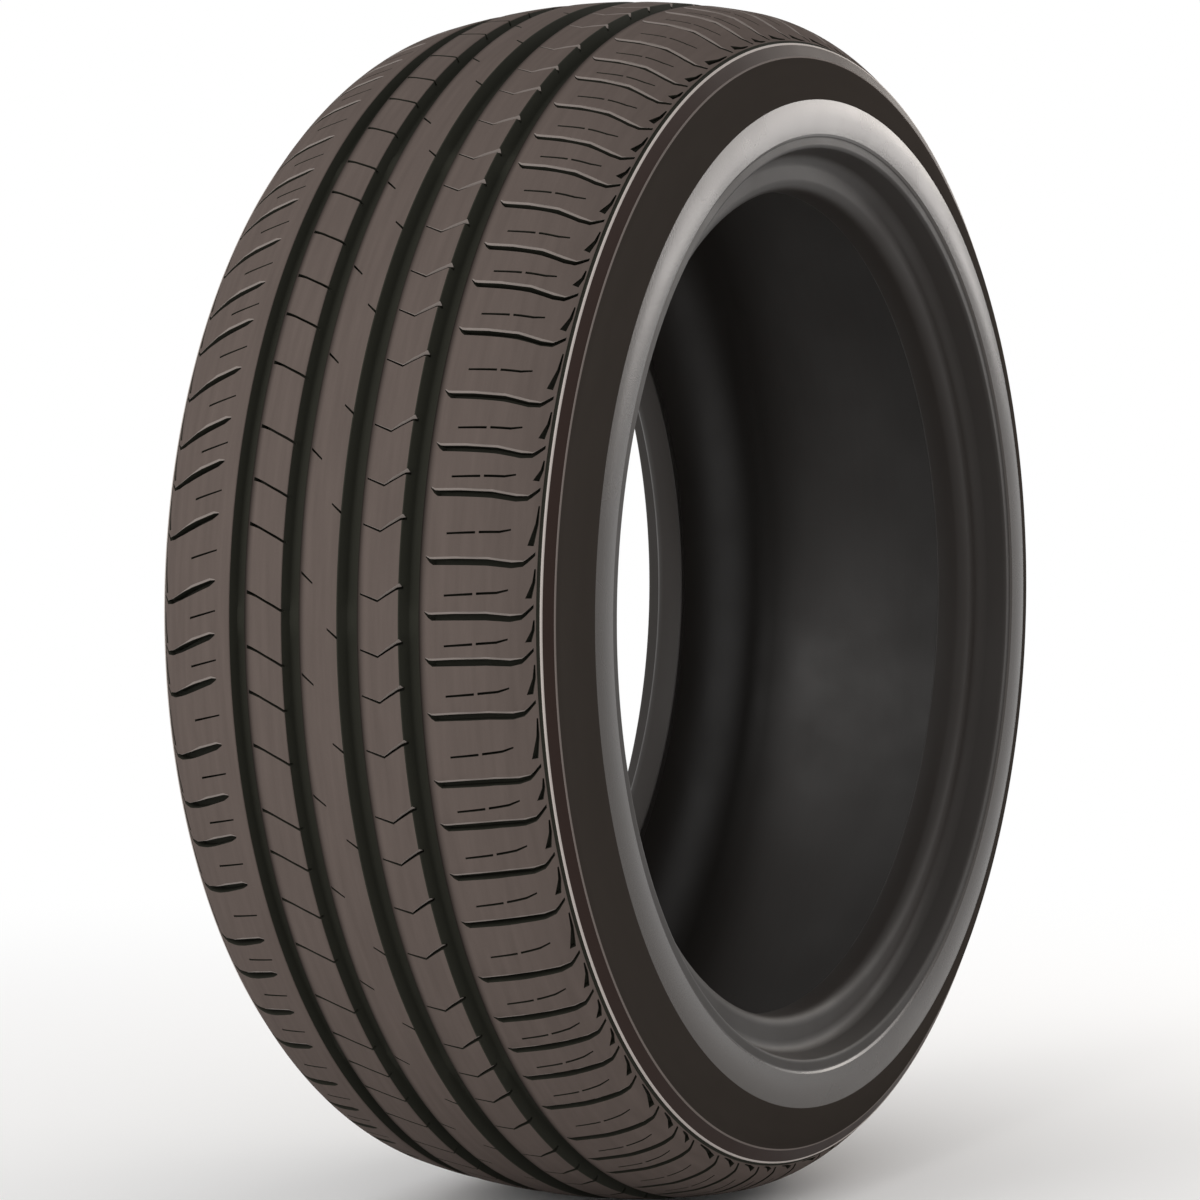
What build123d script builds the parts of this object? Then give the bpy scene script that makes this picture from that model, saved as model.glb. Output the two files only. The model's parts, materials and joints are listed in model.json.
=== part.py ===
from build123d import *
import os
from itertools import accumulate
from math import asin, cos, degrees, radians, sin, sqrt, tan

from numpy import interp

# Passenger car tyre in size 235/45 R17: one moulded piece of rubber with a ribbed road tread.
# The tyre stands upright with its centre at the origin. It spins about Y, Z is up, and the outer
# sidewall faces -Y. Lengths are millimetres and angles degrees. "Across" is a distance from the
# middle plane of the tyre, "along" one around the tread, and "height" one out from the axle.

# Casing
bead_seat_diameter = 436.6  # 17 inch rim
section_height = 103.35  # from the bead seat out to the tread
section_width = 239.2
crown_radius = 350.0  # arc of the tread across the tyre
crown_thickness = 17.5  # tread, belts and liner at the middle of the tyre
shoulder_inset = 13.8  # from the widest line in to the shoulder ridge
shoulder_radius = 58.0
shoulder_fall = 50.0  # slope of the tread at the shoulder ridge
ridge_width = 2.4
ridge_height = 1.1
band_height = 6.4  # band between the shoulder ridge and the sidewall
band_fall = 62.5  # slope of the band
widest_height = 37.7  # from the bead seat out to the widest line
sidewall_thickness = 8.5

# Beads, and the lips that keep the edge of the rim off kerbs
rim_width = 203.2  # between the two bead faces, 8 inch rim
bead_width = 18.6
bead_thickness = 13.6  # at the top of the bead
bead_height = 14.0
heel_bevel = 4.0
flange_height = 18.2  # room for the flange of the rim, under the lip
lip_height = 4.0
lip_inset = 2.0  # from the widest line in to the nose of the lip
lip_flank = 6.5

# Liner
liner_radius = 48.0  # turn from the crown into the sidewall
liner_bulge = 36.0  # from the bead seat out to where the liner turns in to the bead

# Grooves around the tread
inner_groove_offset = 16.0
inner_groove_width = 11.3
outer_groove_offset = 48.0
outer_groove_width = 10.7
groove_depth = 8.0
groove_draft = 12.0

# Pitches around the tread, of three lengths in a mixed order that quietens the tyre
pitch_order = "MSMLMSMMLSMLMSSMLMMSL" * 3 + "MSMLSMLMSMMSM"
pitch_shares = {"S": 0.83, "M": 1.0, "L": 1.25}
first_pitch = -37.6  # angle from the top of the tyre
inner_shoulder_turn = -16.5  # the inner shoulder's pitches against the outer one's

# Slots across the shoulders, with a bevel along one edge
slot_width = 3.2
slot_depth = 6.0
slot_bevel = 1.2
slot_end_inset = 2.0  # from the shoulder ridge in to the end of the slot
slot_sweep = 6.4  # along the tread, where the slot runs out over the shoulder
outer_slot_land = 2.2  # solid rubber between the groove and the slot
outer_slot_hook = 4.0
inner_slot_land = 9.8
inner_slot_slant = 9.0

# Thin cuts across the ribs, from groove to groove: straight on the inner half, bent on the outer half
rib_cut_width = 1.2
rib_cut_depth = 5.0
inner_rib_slant = 11.5
inner_rib_turn = -2.6  # the inner rib's pitches against the outer shoulder's
outer_rib_slant = 3.6  # from the groove to the bend
outer_rib_return = 7.8  # from the bend on to the other groove
outer_rib_bend = 10.0  # across the rib, from the groove to the bend
outer_rib_turn = -2.1

overrun = 2.0  # cutters reach this far out of the rubber
facets = 3  # flats that make up each turn of the section


seat_radius = bead_seat_diameter / 2
outer_radius = seat_radius + section_height
half_width = section_width / 2
bead_face = rim_width / 2
shoulder_across = half_width - shoulder_inset
shoulder_centre_across = shoulder_across - shoulder_radius * sin(radians(shoulder_fall))
crown_lean = degrees(asin(shoulder_centre_across / (crown_radius - shoulder_radius)))


def arc_points(across, height, radius, start, end):
    """Ends of the flats along an arc, with angles that turn from straight out to straight across."""
    angles = [radians(start + (end - start) * step / facets) for step in range(facets + 1)]
    return [Vector(across + radius * sin(angle), height + radius * cos(angle)) for angle in angles]


def crown_height(across):
    """Height of the crown arc at a distance from the middle plane."""
    return outer_radius - crown_radius + sqrt(crown_radius**2 - across**2)


# Half of the tread surface: each rib is a flat between points on the crown arc
crown_centre_height = outer_radius - crown_radius
shoulder_centre_height = crown_centre_height + (crown_radius - shoulder_radius) * cos(radians(crown_lean))
shoulder_line = arc_points(
    shoulder_centre_across, shoulder_centre_height, shoulder_radius, crown_lean, shoulder_fall
)
tread_line = [
    Vector(0, outer_radius),
    Vector(inner_groove_offset, outer_radius),
    Vector(outer_groove_offset, crown_height(outer_groove_offset)),
    *shoulder_line,
]


def tread_height(across):
    """Height of the tread surface at a distance from the middle plane."""
    return interp(across, [point.X for point in tread_line], [point.Y for point in tread_line])


def half_section():
    """Half of the cross-section, X across the tyre and Y out from the axle."""
    down = Vector(cos(radians(band_fall)), -sin(radians(band_fall)))
    out = Vector(-down.Y, down.X)
    ridge = tread_line[-1]
    band_foot = ridge + down * (band_height / -down.Y)
    widest = seat_radius + widest_height
    bulge = half_width - band_foot.X
    sidewall_radius = (bulge**2 + (band_foot.Y - widest) ** 2) / (2 * bulge)
    nose = Vector(half_width - lip_inset, seat_radius + flange_height + lip_height)
    flank_height = nose.Y + lip_flank
    flank_set_back = sidewall_radius - sqrt(sidewall_radius**2 - (widest - flank_height) ** 2)
    flank = Vector(half_width - flank_set_back, flank_height)
    liner_across = half_width - sidewall_thickness
    liner_height = outer_radius - crown_thickness
    liner_line = arc_points(liner_across - liner_radius, liner_height - liner_radius, liner_radius, 90, 0)
    with BuildSketch() as half:
        with BuildLine():
            Polyline(*tread_line, ridge + down * ridge_width / 2 + out * ridge_height,
                     ridge + down * ridge_width, band_foot)
            RadiusArc(band_foot, flank, sidewall_radius)
            Polyline(flank, nose, (bead_face, seat_radius + flange_height),
                     (bead_face, seat_radius + heel_bevel), (bead_face - heel_bevel, seat_radius),
                     (bead_face - bead_width, seat_radius),
                     (bead_face - bead_thickness, seat_radius + bead_height),
                     (liner_across, seat_radius + liner_bulge), *liner_line,
                     (0, liner_height), (0, outer_radius))
        make_face()
        spread = tan(radians(groove_draft))
        for offset, width in ((inner_groove_offset, inner_groove_width),
                              (outer_groove_offset, outer_groove_width)):
            mouth = width / 2 + overrun * spread
            floor = width / 2 - groove_depth * spread
            with Locations((offset, tread_height(offset))):
                Polygon((-mouth, overrun), (-floor, -groove_depth), (floor, -groove_depth), (mouth, overrun),
                        align=None, mode=Mode.SUBTRACT)
    return half.sketch


slot_outline = [
    (-slot_width / 2, overrun),
    (-slot_width / 2, -slot_depth),
    (slot_width / 2, -slot_depth),
    (slot_width / 2, -slot_bevel),
    (slot_width / 2 + slot_bevel + overrun, overrun),
]
rib_cut_outline = [
    (-rib_cut_width / 2, overrun),
    (-rib_cut_width / 2, -rib_cut_depth),
    (rib_cut_width / 2, -rib_cut_depth),
    (rib_cut_width / 2, overrun),
]


def tread_cutter(side, outline, path):
    """Outline carried along (across, along) points; side is -1 on the outer half, 1 on the inner."""
    points = [Vector(along, side * across, tread_height(across)) for across, along in path]
    cutter = Part()
    for start, end in zip(points, points[1:]):
        section = make_face(Polyline(*(start + Vector(x, 0, z) for x, z in outline), close=True))
        cutter += extrude(section, amount=(end - start).length, dir=end - start)
    return cutter


half = half_section()
casing = revolve(Plane.YZ * (half + mirror(half, about=Plane.YZ)), Axis.Y)

# Slots run from near the outer groove, over the crown and down the shoulder
groove_edge = outer_groove_offset + outer_groove_width / 2
outer_start = groove_edge + outer_slot_land
inner_start = groove_edge + inner_slot_land
crown_edge = shoulder_line[0].X
sweep_start = shoulder_line[-2].X
slot_end = shoulder_across - slot_end_inset
outer_slot = tread_cutter(-1, slot_outline, [
    (outer_start, outer_slot_hook),
    (outer_start + outer_slot_hook, 0),
    (crown_edge, 0),
    (sweep_start, 0),
    (slot_end, slot_sweep),
])
inner_slot = tread_cutter(1, slot_outline, [
    (inner_start, inner_slot_slant),
    (crown_edge, inner_slot_slant / 2),
    (sweep_start, 0),
    (slot_end, slot_sweep),
])

# Cuts run out into the grooves on both sides of their rib
rib_start = inner_groove_offset + inner_groove_width / 2
rib_end = outer_groove_offset - outer_groove_width / 2
inner_rib_cut = tread_cutter(1, rib_cut_outline, [
    (rib_start - overrun, -inner_rib_slant),
    (rib_end + overrun, 0),
])
outer_rib_cut = tread_cutter(-1, rib_cut_outline, [
    (rib_start - overrun, outer_rib_slant - outer_rib_return),
    (rib_start + outer_rib_bend, -outer_rib_return),
    (rib_end + overrun, 0),
])
pitch_unit = 360 / sum(pitch_shares[letter] for letter in pitch_order)
pitch_ends = accumulate(pitch_unit * pitch_shares[letter] for letter in pitch_order)
cutters = []
for pitch_end in pitch_ends:
    turn = first_pitch + pitch_end
    cutters.append(Rot(0, turn, 0) * outer_slot)
    cutters.append(Rot(0, turn + outer_rib_turn, 0) * outer_rib_cut)
    cutters.append(Rot(0, turn + inner_rib_turn, 0) * inner_rib_cut)
    cutters.append(Rot(0, turn + inner_shoulder_turn, 0) * inner_slot)
tyre = casing - cutters

os.makedirs("parts", exist_ok=True)
export_step(tyre, "parts/tyre.step")
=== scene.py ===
import json
from itertools import accumulate
from math import acos, asin, ceil, cos, degrees, pi, radians, sin, tan

import bmesh
import bpy
import numpy as np
from mathutils import Matrix, Vector


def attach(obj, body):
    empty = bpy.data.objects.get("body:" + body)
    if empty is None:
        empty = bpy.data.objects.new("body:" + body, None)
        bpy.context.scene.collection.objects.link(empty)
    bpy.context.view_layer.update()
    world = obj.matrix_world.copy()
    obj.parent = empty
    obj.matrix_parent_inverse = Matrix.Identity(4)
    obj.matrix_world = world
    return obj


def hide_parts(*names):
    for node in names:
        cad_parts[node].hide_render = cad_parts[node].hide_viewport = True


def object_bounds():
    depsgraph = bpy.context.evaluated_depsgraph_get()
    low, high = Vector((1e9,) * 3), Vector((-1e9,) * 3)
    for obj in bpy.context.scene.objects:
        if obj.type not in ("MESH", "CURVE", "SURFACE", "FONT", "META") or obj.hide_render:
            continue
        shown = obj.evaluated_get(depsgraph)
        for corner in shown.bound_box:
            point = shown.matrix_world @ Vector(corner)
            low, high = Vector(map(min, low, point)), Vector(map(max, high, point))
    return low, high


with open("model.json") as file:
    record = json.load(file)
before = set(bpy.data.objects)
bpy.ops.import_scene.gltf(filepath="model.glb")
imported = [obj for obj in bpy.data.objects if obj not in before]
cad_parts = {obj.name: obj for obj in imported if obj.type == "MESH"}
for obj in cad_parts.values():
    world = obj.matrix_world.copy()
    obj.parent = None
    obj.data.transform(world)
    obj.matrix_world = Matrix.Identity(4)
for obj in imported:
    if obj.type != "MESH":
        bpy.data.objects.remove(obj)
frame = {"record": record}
cad_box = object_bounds()

# Casing: the body of the tyre, rubber moulded over cords, belts and two bead wires. It is drawn as
# one half of its section, across the tyre and out from the axle, in millimetres, and then turned
# around the axle. Each run of the outline carries its finish; the groove, lip, edge and mould line
# finishes also hold painted shade or painted highlights in their colour.
low, high = cad_box
outer_radius = 1000 * min(high.x, -low.x, high.z, -low.z)
half_width = 1000 * min(high.y, -low.y)
seat_radius = frame["record"]["mounts"][0]["dims"]["r_mm"]
crown_radius = 350.0
crown_thickness = 17.5
shoulder_inset = 13.8
shoulder_radius = 58.0
shoulder_fall = radians(50)
rib_steps = (29.0, 35.0)
shoulder_steps = np.linspace(64, 103, 14)

inner_groove = 16.0
inner_groove_width = 11.3
outer_groove = 48.0
outer_groove_width = 10.7
groove_depth = 8.0
groove_draft = radians(12)
groove_floor_round = 2.2
crisp_lip = 0.6
soft_lip = 3.4
soft_lip_inset = 1.5
lip_reach = 6.5
wear_bar_height = 1.6
wear_bar_steps = 2
wear_bars = 8

shoulder_across = half_width - shoulder_inset
shoulder_centre_across = shoulder_across - shoulder_radius * sin(shoulder_fall)
crown_centre = np.array([0, outer_radius - crown_radius])
crown_lean = asin(shoulder_centre_across / (crown_radius - shoulder_radius))
crown_edge = crown_radius * sin(crown_lean)
crown_to_shoulder = (crown_radius - shoulder_radius) * np.array([sin(crown_lean), cos(crown_lean)])
shoulder_centre = crown_centre + crown_to_shoulder


def tread_point(across, out=0.0):
    """Point of the section that stands out from the tread surface, square to it."""
    centre, radius = (crown_centre, crown_radius)
    if across > crown_edge:
        centre, radius = (shoulder_centre, shoulder_radius)
    lean = asin(min((across - centre[0]) / radius, 1))
    return centre + (radius + out) * np.array([sin(lean), cos(lean)])


def groove(offset, width, near_lip, far_lip):
    """Corners of a groove around the tread, with the rounding of its two lips."""
    near = offset - width / 2
    far = offset + width / 2
    near_top, near_finish, far_finish = ("tread", "groove", "tread")
    # Soft lips take the lip finish, whose colour holds painted shade towards the groove
    if near_lip == soft_lip:
        near += soft_lip_inset
        near_top, near_finish = ("lip", "lip")
    if far_lip == soft_lip:
        far -= soft_lip_inset
        far_finish = "lip"
    wall = groove_depth * tan(groove_draft)
    floor_height = tread_point(offset)[1] - groove_depth
    return [
        (*tread_point(near - lip_reach), 0, near_top),
        (*tread_point(near), near_lip, near_finish),
        (near + wall, floor_height, groove_floor_round, "groove"),
        (far - wall, floor_height, groove_floor_round, "groove"),
        (*tread_point(far), far_lip, far_finish),
        (*tread_point(far + lip_reach), 0, "tread"),
    ]


# Steps down and out from the shoulder ridge, their rounding and finish: a narrow groove, then a raised edge
# whose pale finish is a painted highlight
ridge_outline = [
    (-2.8, 0.0, 0.15, "groove"),
    (-2.4, -0.6, 0, "groove"),
    (-1.5, -0.6, 0, "groove"),
    (-1.1, 0.2, 0.2, "edge"),
    (-0.5, 0.55, 0.3, "edge"),
]
ridge = tread_point(shoulder_across)
tread_down = np.array([cos(shoulder_fall), -sin(shoulder_fall)])
tread_out = np.array([sin(shoulder_fall), cos(shoulder_fall)])

band_height = 6.4
band_fall = radians(62.5)
band_step = 0.2
band_round = 0.3
mould_line_width = 0.45
mould_line_height = 0.3
mould_line_drop = 0.5
band_down = np.array([cos(band_fall), -sin(band_fall)])
band_out = np.array([sin(band_fall), cos(band_fall)])
band_foot = ridge + band_down * band_height / sin(band_fall)

widest_rise = 37.7
ring_height = 265.5
ring_step = 0.4
ring_foot = 0.5
sidewall_count = 8
ring_count = 7
widest_height = seat_radius + widest_rise
bulge = half_width - band_foot[0]
sidewall_radius = (bulge**2 + (band_foot[1] - widest_height) ** 2) / (2 * bulge)

bead_face = 101.6
flank_height = 247.0
flank_inset = 2.4
flank_drop = 1.0
flank_round = 1.5
nose_height = 240.5
nose_inset = 2.0
nose_round = 2.2
flange_rise = 18.2
flange_round = 7.0
heel_round = 6.5
toe_width = 18.6
toe_round = 1.0
bead_thickness = 13.6
bead_rise = 14.0
bead_round = 12.0

sidewall_thickness = 8.5
liner_rise = 36.0
liner_round = 3.0
liner_radius = 48.0
liner_lean = 0.05
liner_count = 8
liner_across = half_width - sidewall_thickness
liner_height = outer_radius - crown_thickness


def arc(across, height, radius, start, end, count, finish):
    """Points along an arc, between two angles that turn from straight across to straight out."""
    leans = np.linspace(start, end, count)
    return [(across + radius * cos(lean), height + radius * sin(lean), 0, finish) for lean in leans]


def sidewall(start, end, depth, count, finish):
    """Points down the sidewall between two heights, set in from its surface by a depth."""
    leans = [asin((height - widest_height) / sidewall_radius) for height in (start, end)]
    return arc(half_width - sidewall_radius, widest_height, sidewall_radius - depth, *leans, count, finish)


def rounded(corners):
    """Points along an outline whose corners are rounded, and the finish of the run after each."""
    turn_step = radians(34)
    room_share = 0.7
    least_reach = 0.01
    points = [np.array(corners[0][:2])]
    finishes = [corners[0][3]]
    for before, (across, height, radius, finish), after in zip(corners, corners[1:], corners[2:]):
        corner = np.array([across, height])
        back = np.array(before[:2]) - corner
        ahead = np.array(after[:2]) - corner
        room = room_share * min(np.linalg.norm(back), np.linalg.norm(ahead))
        back /= np.linalg.norm(back)
        ahead /= np.linalg.norm(ahead)
        half_angle = acos(np.clip(back @ ahead, -1, 1)) / 2
        reach = min(radius / tan(half_angle), room)
        if radius == 0 or reach < least_reach:
            points.append(corner)
            finishes.append(finish)
            continue
        middle = (back + ahead) / np.linalg.norm(back + ahead)
        radius = reach * tan(half_angle)
        centre = corner + middle * radius / sin(half_angle)
        start = corner + back * reach - centre
        end = corner + ahead * reach - centre
        sweep = pi - 2 * half_angle
        steps = max(2, ceil(sweep / turn_step))
        for step in range(steps + 1):
            spread = sweep * step / steps
            points.append(centre + (start * sin(sweep - spread) + end * sin(spread)) / sin(sweep))
            finishes.append(finish)
    points.append(np.array(corners[-1][:2]))
    return np.array(points), finishes


def half_section(near_lip, far_lip):
    """Half of the section from the crown round to the liner; the lips are the rounding of its grooves."""
    liner_centre = (liner_across - liner_radius, liner_height - liner_radius)
    return rounded([
        (0, outer_radius, 0, "tread"),
        *groove(inner_groove, inner_groove_width, near_lip, far_lip),
        *[(*tread_point(across), 0, "tread") for across in rib_steps],
        *groove(outer_groove, outer_groove_width, near_lip, far_lip),
        *[(*tread_point(across), 0, "tread") for across in shoulder_steps],
        *[(*(ridge + down * tread_down + out * tread_out), radius, finish)
          for down, out, radius, finish in ridge_outline],
        (*(ridge + band_step * band_down + band_step * band_out), band_round, "band"),
        # A thin raised mould line; its pale finish is a painted highlight
        (*(band_foot - mould_line_width * band_down), 0, "mould_line"),
        (*(band_foot + mould_line_height * band_out), 0, "mould_line"),
        *sidewall(band_foot[1] - mould_line_drop, ring_height + ring_step, 0, sidewall_count, "sidewall"),
        *sidewall(ring_height, flank_height + ring_foot, ring_step, ring_count, "ring"),
        (half_width - flank_inset, flank_height - flank_drop, flank_round, "bead"),
        (half_width - nose_inset, nose_height, nose_round, "bead"),
        (bead_face, seat_radius + flange_rise, flange_round, "bead"),
        (bead_face, seat_radius, heel_round, "bead"),
        (bead_face - toe_width, seat_radius, toe_round, "liner"),
        (bead_face - bead_thickness, seat_radius + bead_rise, bead_round, "liner"),
        (liner_across, seat_radius + liner_rise, liner_round, "liner"),
        *arc(*liner_centre, liner_radius, liner_lean, pi / 2, liner_count, "liner"),
        (0, liner_height, 0, "liner"),
    ])


finish_order = [
    "tread", "lip", "bevel", "groove", "edge", "band", "mould_line", "sidewall", "ring", "bead", "liner",
]
outer_points, outer_finishes = half_section(crisp_lip, soft_lip)
inner_points, inner_finishes = half_section(soft_lip, crisp_lip)
section = np.concatenate([outer_points * [-1, 1], inner_points[-2:0:-1]])
section_finishes = outer_finishes + inner_finishes[::-1]

steps_around = 288
bar_spacing = steps_around // wear_bars
heights = np.tile(section[:, 1], (steps_around, 1))
for column, across in enumerate(np.abs(section[:, 0])):
    for offset, width in ((inner_groove, inner_groove_width), (outer_groove, outer_groove_width)):
        if abs(across - offset) < width / 2 and section_finishes[column] == "groove":
            bar_top = tread_point(offset)[1] - groove_depth + wear_bar_height
            for step in range(wear_bar_steps):
                row = heights[step::bar_spacing, column]
                row[:] = np.maximum(row, bar_top)
angles = np.arange(steps_around)[:, None] * 2 * pi / steps_around
widths = np.broadcast_to(section[:, 0], heights.shape)
casing_points = np.stack([heights * np.sin(angles), widths, heights * np.cos(angles)], axis=-1)
index = np.arange(steps_around * len(section)).reshape(steps_around, len(section))
ahead = np.roll(index, -1, axis=0)
beside = np.roll(index, -1, axis=1)
casing_faces = np.stack([index, beside, np.roll(beside, -1, axis=0), ahead], axis=-1)
casing_mesh = bpy.data.meshes.new("tyre")
casing_mesh.from_pydata(
    (casing_points.reshape(-1, 3) / 1000).tolist(), [], casing_faces.reshape(-1, 4).tolist()
)
run_finishes = [finish_order.index(finish) for finish in section_finishes]
casing_mesh.polygons.foreach_set("material_index", np.tile(run_finishes, steps_around))
tyre = bpy.data.objects.new("tyre_rubber", casing_mesh)
bpy.context.collection.objects.link(tyre)

# Tread pattern: slots, thin cuts and notches that the blades of the mould leave in the ribs and the
# shoulders. They follow pitches of three lengths in a mixed order, which quietens the tyre, and each
# kind starts at its own turn. Sizes are across the tyre and along the tread, in millimetres.
pitch_order = "MSMLMSMMLSMLMSSMLMMSL" * 3 + "MSMLSMLMSMMSM"
pitch_shares = {"S": 0.83, "M": 1.0, "L": 1.25}
first_pitch = -37.6
inner_shoulder_turn = -16.5
inner_rib_turn = -2.6
outer_rib_turn = -2.1
nick_turn = -15.4
shares = [pitch_shares[letter] for letter in pitch_order]
pitch_turns = [360 * share / sum(shares) for share in shares]
pitch_starts = [first_pitch + turned for turned in accumulate(pitch_turns)]
pitch_lengths = [radians(turn) * outer_radius for turn in pitch_turns[1:] + pitch_turns[:1]]
outer, inner = (-1, 1)
overrun = 0.8

cutter_points = []
cutter_faces = []
cutter_finishes = []


def place(side, turn, across, along, lift):
    """Point in space from its place on the tread and its height over the surface."""
    position, height = tread_point(across, lift)
    angle = radians(turn) + along / tread_point(across)[1]
    return (height * sin(angle), side * position, height * cos(angle))


def add_cutter(rings, finishes):
    """Closed body through rings of points, flat at both ends, with the finish of each side."""
    start = len(cutter_points)
    count = len(rings[0])
    for ring in rings:
        cutter_points.extend(ring)
    for ring in range(len(rings) - 1):
        for corner in range(count):
            a = start + ring * count + corner
            b = start + ring * count + (corner + 1) % count
            cutter_faces.append((a, b, b + count, a + count))
        cutter_finishes.extend(finishes)
    last = start + (len(rings) - 1) * count
    cutter_faces.append(tuple(range(start + count - 1, start - 1, -1)))
    cutter_faces.append(tuple(range(last, last + count)))
    cutter_finishes.extend(["groove", "groove"])


def add_slot(side, turn, stations, edge="groove", slope=1.0):
    """Cut along stations of (across, along, width, bevel, depth), bevelled on its far edge."""
    rings = []
    for across, along, width, bevel, depth in stations:
        near = along - width / 2
        far = along + width / 2
        outline = [
            (near, overrun),
            (near, -depth),
            (far, -depth),
            (far, -slope * bevel),
            (far + bevel, 0.0),
            (far + bevel, overrun),
        ]
        rings.append([place(side, turn, across, *corner) for corner in outline])
    add_cutter(rings, ["groove", "groove", "groove", edge, edge, edge])


outer_slot = [
    (55.6, 3.6, 0.4, 0.5, 0.9),
    (57.4, 1.9, 1.6, 0.9, 2.5),
    (59.2, 1.2, 2.8, 1.0, 5.0),
    (70.0, 1.6, 3.1, 1.0, 5.5),
    (84.5, 1.8, 3.1, 1.0, 5.5),
    (94.5, 0.9, 2.8, 1.0, 5.0),
    (98.8, 1.7, 2.4, 0.5, 4.0),
    (100.4, 3.4, 2.2, 0.1, 4.0),
    (103.0, 6.8, 1.8, 0.1, 3.0),
]
outer_slot_slope = 0.6
outer_dashes = [
    [(65.0, -1.4, 0.9, 0.1, 3.0), (78.6, -0.4, 1.1, 0.1, 4.0)],
    [(80.2, -0.2, 1.1, 0.1, 4.0), (89.0, 0.4, 1.1, 0.1, 4.0), (93.6, 1.8, 0.8, 0.1, 2.0)],
]
inner_slot = [
    (62.5, 1.6, 0.8, 0.4, 1.0),
    (66.0, 0.4, 3.0, 1.0, 5.0),
    (78.0, -3.5, 3.8, 1.1, 5.5),
    (85.0, -5.9, 3.6, 0.3, 5.5),
    (94.0, -8.6, 2.6, 0.1, 5.0),
    (99.8, -9.0, 1.8, 0.1, 4.0),
    (103.2, -6.0, 1.1, 0.1, 2.0),
]
inner_slot_slope = 0.4
inner_dash = [(62.0, 0.0, 0.7, 0.1, 3.0), (79.0, -4.2, 1.0, 0.1, 4.0)]
inner_rib_cut = [
    (42.2, 0.0, 1.8, 0.1, 5.0),
    (39.5, -0.8, 1.5, 0.1, 5.0),
    (36.0, -2.1, 1.2, 0.1, 5.0),
    (30.5, -4.6, 1.2, 0.1, 5.0),
    (25.5, -6.8, 1.3, 0.1, 4.0),
    (21.2, -8.9, 1.4, 0.1, 3.0),
]
outer_rib_cut = [
    (22.4, -2.75, 0.8, 0.1, 3.0),
    (31.6, -6.05, 1.0, 0.3, 5.0),
    (36.0, -3.2, 1.2, 0.9, 5.0),
    (41.2, -0.1, 1.3, 1.0, 5.0),
    (43.6, 0.6, 1.4, 2.1, 5.0),
]
inner_nick = [(10.2, 0.3, 1.3, 0.1, 4.0), (3.6, -5.0, 0.9, 0.1, 1.5)]
outer_nick = [(4.6, 0.0, 0.9, 0.1, 1.5), (10.2, -4.4, 1.3, 0.1, 4.0)]

# Outline of a wedge notch: across the tyre, and the share of the way from its start to its end
notch_outline = [(100.0, 0), (102.3, 0), (103.4, 0.55), (103.4, 1), (102.9, 1), (102.3, 0.55)]
notch_depth = 3.0
outer_notch_start = 10.4
outer_notch_share = 0.8
outer_notch_tail = 3.0
inner_notch_start = -4.4
inner_notch_share = 0.4


def add_notch(side, turn, start, end):
    """Wedge cut beside the shoulder ridge, from its wide end to its thin tail."""
    outline = [(across, start + share * (end - start)) for across, share in notch_outline]
    rings = [
        [place(side, turn, across, along, lift) for across, along in outline]
        for lift in (overrun, -notch_depth)
    ]
    add_cutter(rings, ["groove"] * len(outline))


for count, (turn, pitch) in enumerate(zip(pitch_starts, pitch_lengths)):
    add_slot(outer, turn, outer_slot, "bevel", outer_slot_slope)
    for dash in outer_dashes:
        add_slot(outer, turn + degrees(pitch / outer_radius) / 2, dash)
    add_notch(outer, turn, outer_notch_start, outer_notch_share * pitch + outer_notch_tail)
    inner_turn = turn + inner_shoulder_turn
    add_slot(inner, inner_turn, inner_slot, "bevel", inner_slot_slope)
    mid_dash = [(across, 0.5 * pitch + along, *sizes) for across, along, *sizes in inner_dash]
    add_slot(inner, inner_turn, mid_dash)
    add_notch(inner, inner_turn, inner_notch_start, inner_notch_share * pitch)
    add_slot(inner, turn + inner_rib_turn, inner_rib_cut)
    add_slot(outer, turn + outer_rib_turn, outer_rib_cut, "bevel")
    if count % 2 == 0:
        add_slot(inner, turn + nick_turn, inner_nick)
    else:
        add_slot(outer, turn + nick_turn, outer_nick)

cutter_mesh = bpy.data.meshes.new("tread_cuts")
cutter_mesh.from_pydata((np.array(cutter_points) / 1000).tolist(), [], cutter_faces)
side_finishes = [finish_order.index(finish) for finish in cutter_finishes]
cutter_mesh.polygons.foreach_set("material_index", side_finishes)
for mesh in (casing_mesh, cutter_mesh):
    shell = bmesh.new()
    shell.from_mesh(mesh)
    bmesh.ops.recalc_face_normals(shell, faces=shell.faces)
    shell.to_mesh(mesh)
    shell.free()
cutters = bpy.data.objects.new("tread_cuts", cutter_mesh)
bpy.context.collection.objects.link(cutters)

cut = tyre.modifiers.new("tread cuts", "BOOLEAN")
cut.operation = "DIFFERENCE"
cut.solver = "MANIFOLD"
cut.object = cutters

# Rubber: black compound with the skin that a sprayed mould leaves, fine pits and a slight change of
# shade along the way the tyre rolls. Every finish shares this grain with its own values, and the cut
# tread and the casing are joined here into the one moulded piece.
streaks_across = 260.0
streaks_around = 6.0
pit_scale = 900.0
pit_depth = 0.0002
blotch_scale = 22.0
blotch_gloss = 0.25
noise_middle = 0.5
grain = bpy.data.node_groups.new("rubber_grain", "ShaderNodeTree")
for socket, direction, kind in (
    ("Colour", "INPUT", "NodeSocketColor"),
    ("Streaks", "INPUT", "NodeSocketFloat"),
    ("Roughness", "INPUT", "NodeSocketFloat"),
    ("Pits", "INPUT", "NodeSocketFloat"),
    ("Colour", "OUTPUT", "NodeSocketColor"),
    ("Roughness", "OUTPUT", "NodeSocketFloat"),
    ("Normal", "OUTPUT", "NodeSocketVector"),
):
    grain.interface.new_socket(socket, in_out=direction, socket_type=kind)


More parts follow.
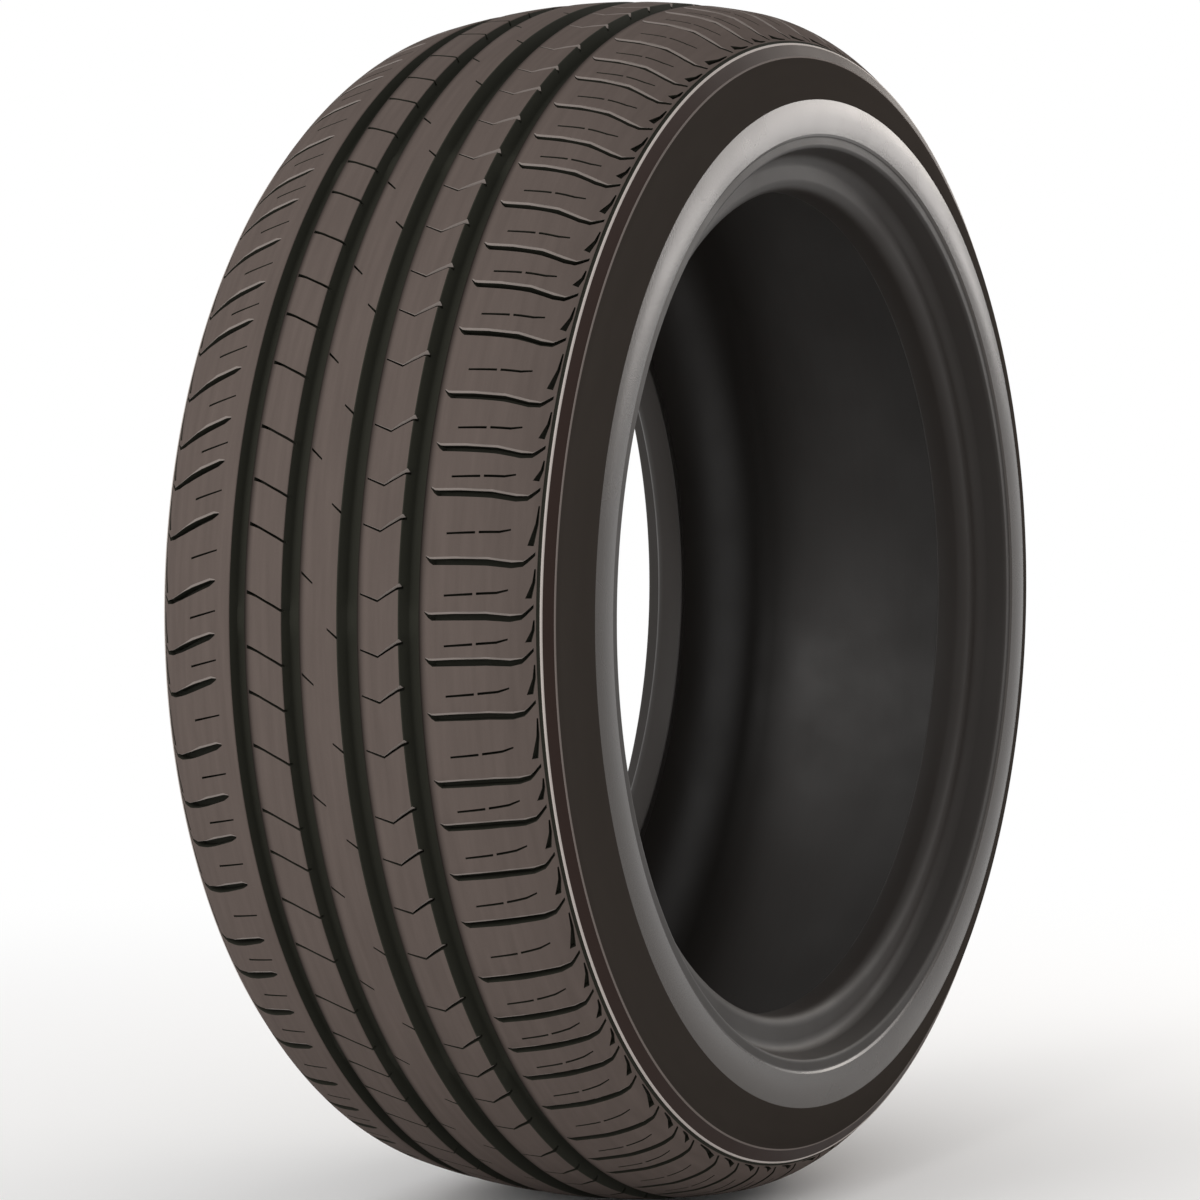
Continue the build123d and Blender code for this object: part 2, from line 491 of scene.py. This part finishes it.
def add_node(tree, kind, inputs=None, **settings):
    """New shader node with its settings and its unlinked inputs."""
    node = tree.nodes.new(kind)
    for name, value in settings.items():
        setattr(node, name, value)
    for socket, value in (inputs or {}).items():
        node.inputs[socket].default_value = value
    return node


values = add_node(grain, "NodeGroupInput")
results = add_node(grain, "NodeGroupOutput")
place_node = add_node(grain, "ShaderNodeTexCoord")
axes = add_node(grain, "ShaderNodeSeparateXYZ")
around = add_node(grain, "ShaderNodeMath", operation="ARCTAN2")
rolled = add_node(grain, "ShaderNodeCombineXYZ")
streaks = add_node(grain, "ShaderNodeTexNoise", {"Scale": 1.0, "Detail": 3.0})
pits = add_node(grain, "ShaderNodeTexNoise", {"Scale": pit_scale, "Detail": 3.0})
blotches = add_node(grain, "ShaderNodeTexNoise", {"Scale": blotch_scale, "Detail": 4.0})
across_scale = add_node(grain, "ShaderNodeMath", {1: streaks_across}, operation="MULTIPLY")
around_scale = add_node(grain, "ShaderNodeMath", {1: streaks_around}, operation="MULTIPLY")
shade = add_node(grain, "ShaderNodeMath", {1: noise_middle}, operation="SUBTRACT")
shade_amount = add_node(grain, "ShaderNodeMath", operation="MULTIPLY")
shade_level = add_node(grain, "ShaderNodeMath", {0: 1.0}, operation="ADD")
tint = add_node(grain, "ShaderNodeVectorMath", operation="SCALE")
gloss = add_node(grain, "ShaderNodeMath", {1: noise_middle}, operation="SUBTRACT")
gloss_amount = add_node(grain, "ShaderNodeMath", {1: blotch_gloss}, operation="MULTIPLY")
gloss_level = add_node(grain, "ShaderNodeMath", operation="ADD")
bump = add_node(grain, "ShaderNodeBump", {"Distance": pit_depth})
for source, target in (
    (place_node.outputs["Object"], axes.inputs[0]),
    (axes.outputs["X"], around.inputs[0]),
    (axes.outputs["Z"], around.inputs[1]),
    (axes.outputs["Y"], across_scale.inputs[0]),
    (around.outputs[0], around_scale.inputs[0]),
    (across_scale.outputs[0], rolled.inputs["X"]),
    (around_scale.outputs[0], rolled.inputs["Y"]),
    (rolled.outputs[0], streaks.inputs["Vector"]),
    (place_node.outputs["Object"], pits.inputs["Vector"]),
    (place_node.outputs["Object"], blotches.inputs["Vector"]),
    (streaks.outputs["Fac"], shade.inputs[0]),
    (shade.outputs[0], shade_amount.inputs[0]),
    (values.outputs["Streaks"], shade_amount.inputs[1]),
    (shade_amount.outputs[0], shade_level.inputs[1]),
    (values.outputs["Colour"], tint.inputs[0]),
    (shade_level.outputs[0], tint.inputs["Scale"]),
    (tint.outputs[0], results.inputs["Colour"]),
    (blotches.outputs["Fac"], gloss.inputs[0]),
    (gloss.outputs[0], gloss_amount.inputs[0]),
    (gloss_amount.outputs[0], gloss_level.inputs[0]),
    (values.outputs["Roughness"], gloss_level.inputs[1]),
    (gloss_level.outputs[0], results.inputs["Roughness"]),
    (pits.outputs["Fac"], bump.inputs["Height"]),
    (values.outputs["Pits"], bump.inputs["Strength"]),
    (bump.outputs[0], results.inputs["Normal"]),
):
    grain.links.new(source, target)


def rubber(name, colour, streak, roughness, pit, specular):
    """Rubber with one of the finishes; some of them hold painted shade or painted highlights."""
    material = bpy.data.materials.new(name)
    material.use_nodes = True
    tree = material.node_tree
    shader = tree.nodes["Principled BSDF"]
    shader.inputs["Specular IOR Level"].default_value = specular
    skin = add_node(tree, "ShaderNodeGroup", node_tree=grain)
    skin.inputs["Colour"].default_value = (*colour, 1)
    skin.inputs["Streaks"].default_value = streak
    skin.inputs["Roughness"].default_value = roughness
    skin.inputs["Pits"].default_value = pit
    tree.links.new(skin.outputs["Colour"], shader.inputs["Base Color"])
    tree.links.new(skin.outputs["Roughness"], shader.inputs["Roughness"])
    tree.links.new(skin.outputs["Normal"], shader.inputs["Normal"])
    return material


# Colour, streaks, roughness, pits and specular level of each finish
finish_values = {
    "tread": ((0.102, 0.0815, 0.0725), 0.35, 0.7, 0.25, 0.004),
    # lip: the tread's values; painted shade towards the grooves is added to its colour below
    "lip": ((0.102, 0.0815, 0.0725), 0.35, 0.7, 0.25, 0.004),
    # bevel: twice as pale as the tread, a painted highlight on the sloped far walls of the slots
    "bevel": ((0.20, 0.172, 0.157), 0.1, 0.55, 0.1, 0.1),
    # groove: a quarter of the tread's colour, painted shade inside the grooves, cuts and notches
    "groove": ((0.026, 0.026, 0.02), 0.1, 0.7, 0.15, 0.05),
    # edge: pale grey, a painted highlight along the shoulder ridge
    "edge": ((0.43, 0.385, 0.36), 0.1, 0.5, 0.1, 0.06),
    "band": ((0.0255, 0.0145, 0.0115), 0.1, 0.45, 0.02, 0.085),
    # mould_line: paler than the sidewall, a painted highlight on the thin raised line
    "mould_line": ((0.15, 0.127, 0.116), 0.1, 0.6, 0.1, 0.03),
    "sidewall": ((0.0355, 0.0298, 0.0258), 0.15, 0.6, 0.15, 0.0),
    "ring": ((0.036, 0.028, 0.023), 0.2, 0.26, 0.3, 0.5),
    "bead": ((0.022, 0.018, 0.0155), 0.1, 0.5, 0.15, 0.25),
    "liner": ((0.024, 0.0205, 0.018), 0.2, 0.42, 0.2, 0.35),
}
finishes = {finish: rubber(f"{finish}_rubber", *given) for finish, given in finish_values.items()}

# Painted shade: the colour of the soft lips darkens towards their grooves, standing in for the shade on
# their rounded edges. The grooves are evenly spaced across the tread.
groove_spacing = outer_groove - inner_groove
lip_margin = 4.0
lip_lead = 0.8
lip_fade = 4.8
lip_shade_darkest = 0.1
lip_start = inner_groove - inner_groove_width / 2 + soft_lip_inset + lip_margin
millimetres_outward = -1000.0
lip_range = {
    "From Min": lip_margin - lip_lead,
    "From Max": lip_margin + lip_fade,
    "To Min": lip_shade_darkest,
    "To Max": 1.0,
}
lip_tree = finishes["lip"].node_tree
lip_skin = lip_tree.nodes["Group"]
lip_place = add_node(lip_tree, "ShaderNodeTexCoord")
lip_axes = add_node(lip_tree, "ShaderNodeSeparateXYZ")
lip_terms = {1: millimetres_outward, 2: lip_start}
lip_across = add_node(lip_tree, "ShaderNodeMath", lip_terms, operation="MULTIPLY_ADD")
lip_distance = add_node(lip_tree, "ShaderNodeMath", {1: groove_spacing}, operation="FLOORED_MODULO")
lip_painted_shade = add_node(lip_tree, "ShaderNodeMapRange", lip_range, interpolation_type="SMOOTHSTEP")
lip_shaded_colour = add_node(lip_tree, "ShaderNodeVectorMath", operation="SCALE")
for source, target in (
    (lip_place.outputs["Object"], lip_axes.inputs[0]),
    (lip_axes.outputs["Y"], lip_across.inputs[0]),
    (lip_across.outputs[0], lip_distance.inputs[0]),
    (lip_distance.outputs[0], lip_painted_shade.inputs["Value"]),
    (lip_skin.outputs["Colour"], lip_shaded_colour.inputs[0]),
    (lip_painted_shade.outputs["Result"], lip_shaded_colour.inputs["Scale"]),
    (lip_shaded_colour.outputs[0], lip_tree.nodes["Principled BSDF"].inputs["Base Color"]),
):
    lip_tree.links.new(source, target)
for finish in finish_order:
    casing_mesh.materials.append(finishes[finish])
    cutter_mesh.materials.append(finishes[finish])

sharp_angle = radians(32)
depsgraph = bpy.context.evaluated_depsgraph_get()
tyre_mesh = bpy.data.meshes.new_from_object(tyre.evaluated_get(depsgraph))
tyre.modifiers.clear()
tyre.data = tyre_mesh
bpy.data.objects.remove(cutters)
tyre_mesh.shade_smooth()
tyre_mesh.set_sharp_from_angle(angle=sharp_angle)
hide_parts("tyre")
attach(tyre, "root")

# Floor: a plain pale sheet of paper under the tread, wide enough that its edge never shows. It turns
# white away from the tyre, so that only the shadow stays on it.
floor_reach = 20.0
floor_corners = [(floor_reach * x, floor_reach * y, 0) for x, y in ((-1, -1), (1, -1), (1, 1), (-1, 1))]
floor_mesh = bpy.data.meshes.new("floor")
floor_mesh.from_pydata(floor_corners, [], [(0, 1, 2, 3)])
floor = bpy.data.objects.new("floor", floor_mesh)
floor.location.z = low.z
bpy.context.collection.objects.link(floor)


def seen_white(tree):
    """Socket that is 1 where the camera, a gloss or a clear part looks straight at the surroundings."""
    ray = add_node(tree, "ShaderNodeLightPath")
    seen = add_node(tree, "ShaderNodeMath", operation="MAXIMUM")
    seen_through = add_node(tree, "ShaderNodeMath", operation="MAXIMUM")
    tree.links.new(ray.outputs["Is Camera Ray"], seen.inputs[0])
    tree.links.new(ray.outputs["Is Glossy Ray"], seen.inputs[1])
    tree.links.new(seen.outputs[0], seen_through.inputs[0])
    tree.links.new(ray.outputs["Is Transmission Ray"], seen_through.inputs[1])
    return seen_through.outputs[0]


paper = bpy.data.materials.new("floor_paper")
paper.use_nodes = True
sheet = paper.node_tree
surface = sheet.nodes["Principled BSDF"]
surface.inputs["Base Color"].default_value = (0.94, 0.94, 0.94, 1)
surface.inputs["Roughness"].default_value = 0.9
surface.inputs["Specular IOR Level"].default_value = 0.0
white = add_node(sheet, "ShaderNodeEmission", {"Color": (1, 1, 1, 1), "Strength": 1.0})
sheet_place = add_node(sheet, "ShaderNodeTexCoord")
sheet_distance = add_node(sheet, "ShaderNodeVectorMath", operation="LENGTH")
fade_range = {"From Min": 0.3, "From Max": 1.5, "To Min": 0.0, "To Max": 1.0}
fade = add_node(sheet, "ShaderNodeMapRange", fade_range, interpolation_type="SMOOTHSTEP")
whiteness = add_node(sheet, "ShaderNodeMath", operation="MULTIPLY")
blend = add_node(sheet, "ShaderNodeMixShader")
for source, target in (
    (sheet_place.outputs["Object"], sheet_distance.inputs[0]),
    (sheet_distance.outputs["Value"], fade.inputs["Value"]),
    (seen_white(sheet), whiteness.inputs[0]),
    (fade.outputs["Result"], whiteness.inputs[1]),
    (whiteness.outputs[0], blend.inputs["Fac"]),
    (surface.outputs["BSDF"], blend.inputs[1]),
    (white.outputs["Emission"], blend.inputs[2]),
    (blend.outputs["Shader"], sheet.nodes["Material Output"].inputs["Surface"]),
):
    sheet.links.new(source, target)
floor_mesh.materials.append(paper)

# Studio: white air that lights the tyre a little less than it shows, and three soft rectangular lamps
# around the tyre: the key on its tread, one behind it and a low one beside its outer sidewall.
air_light = 0.72
world = bpy.data.worlds.new("studio")
bpy.context.scene.world = world
world.use_nodes = True
air = world.node_tree
background = air.nodes["Background"]
background.inputs["Color"].default_value = (1, 1, 1, 1)
level = add_node(air, "ShaderNodeMapRange", {"To Min": air_light, "To Max": 1.0})
air.links.new(seen_white(air), level.inputs["Value"])
air.links.new(level.outputs[0], background.inputs["Strength"])


def add_lamp(name, position, target, size, watts, tint):
    """Soft rectangular lamp that faces a point."""
    lamp = bpy.data.lights.new(name, "AREA")
    lamp.shape = "RECTANGLE"
    lamp.size, lamp.size_y = size
    lamp.energy = watts
    lamp.color = tint
    holder = bpy.data.objects.new(name, lamp)
    holder.location = position
    holder.rotation_euler = (Vector(target) - Vector(position)).to_track_quat("-Z", "Y").to_euler()
    bpy.context.collection.objects.link(holder)


add_lamp("key_lamp", (-2.6, 0.5, 1.1), (0, 0, 0.1), (2.0, 2.0), 38, (1.0, 0.98, 0.965))
add_lamp("back_lamp", (2.2, -0.45, 1.0), (0, 0, 0.3), (1.2, 1.0), 10, (1.0, 0.92, 0.83))
add_lamp("low_lamp", (1.32, -0.85, 0.42), (0, -0.12, 0.2), (0.75, 0.5), 4.2, (1.0, 0.95, 0.92))

# Camera: stands in front of the tread and a little to the outer side, just above the axle. Its lens
# is shifted sideways, as the photograph's framing needs.
camera_turn = radians(-62.24)
camera_rise = radians(2.41)
camera_roll = radians(-0.12)
camera_distance = 2.192
lens = bpy.data.cameras.new("camera")
lens.lens = 121.1
lens.sensor_width = 36
lens.shift_x = -0.02925
lens.shift_y = 0.00025
camera = bpy.data.objects.new("camera", lens)
camera.matrix_world = (
    Matrix.Rotation(camera_turn, 4, "Z")
    @ Matrix.Rotation(pi / 2 - camera_rise, 4, "X")
    @ Matrix.Translation((0, 0, camera_distance))
    @ Matrix.Rotation(camera_roll, 4, "Z")
)
bpy.context.collection.objects.link(camera)
bpy.context.scene.camera = camera
bpy.context.scene.view_settings.view_transform = "Standard"
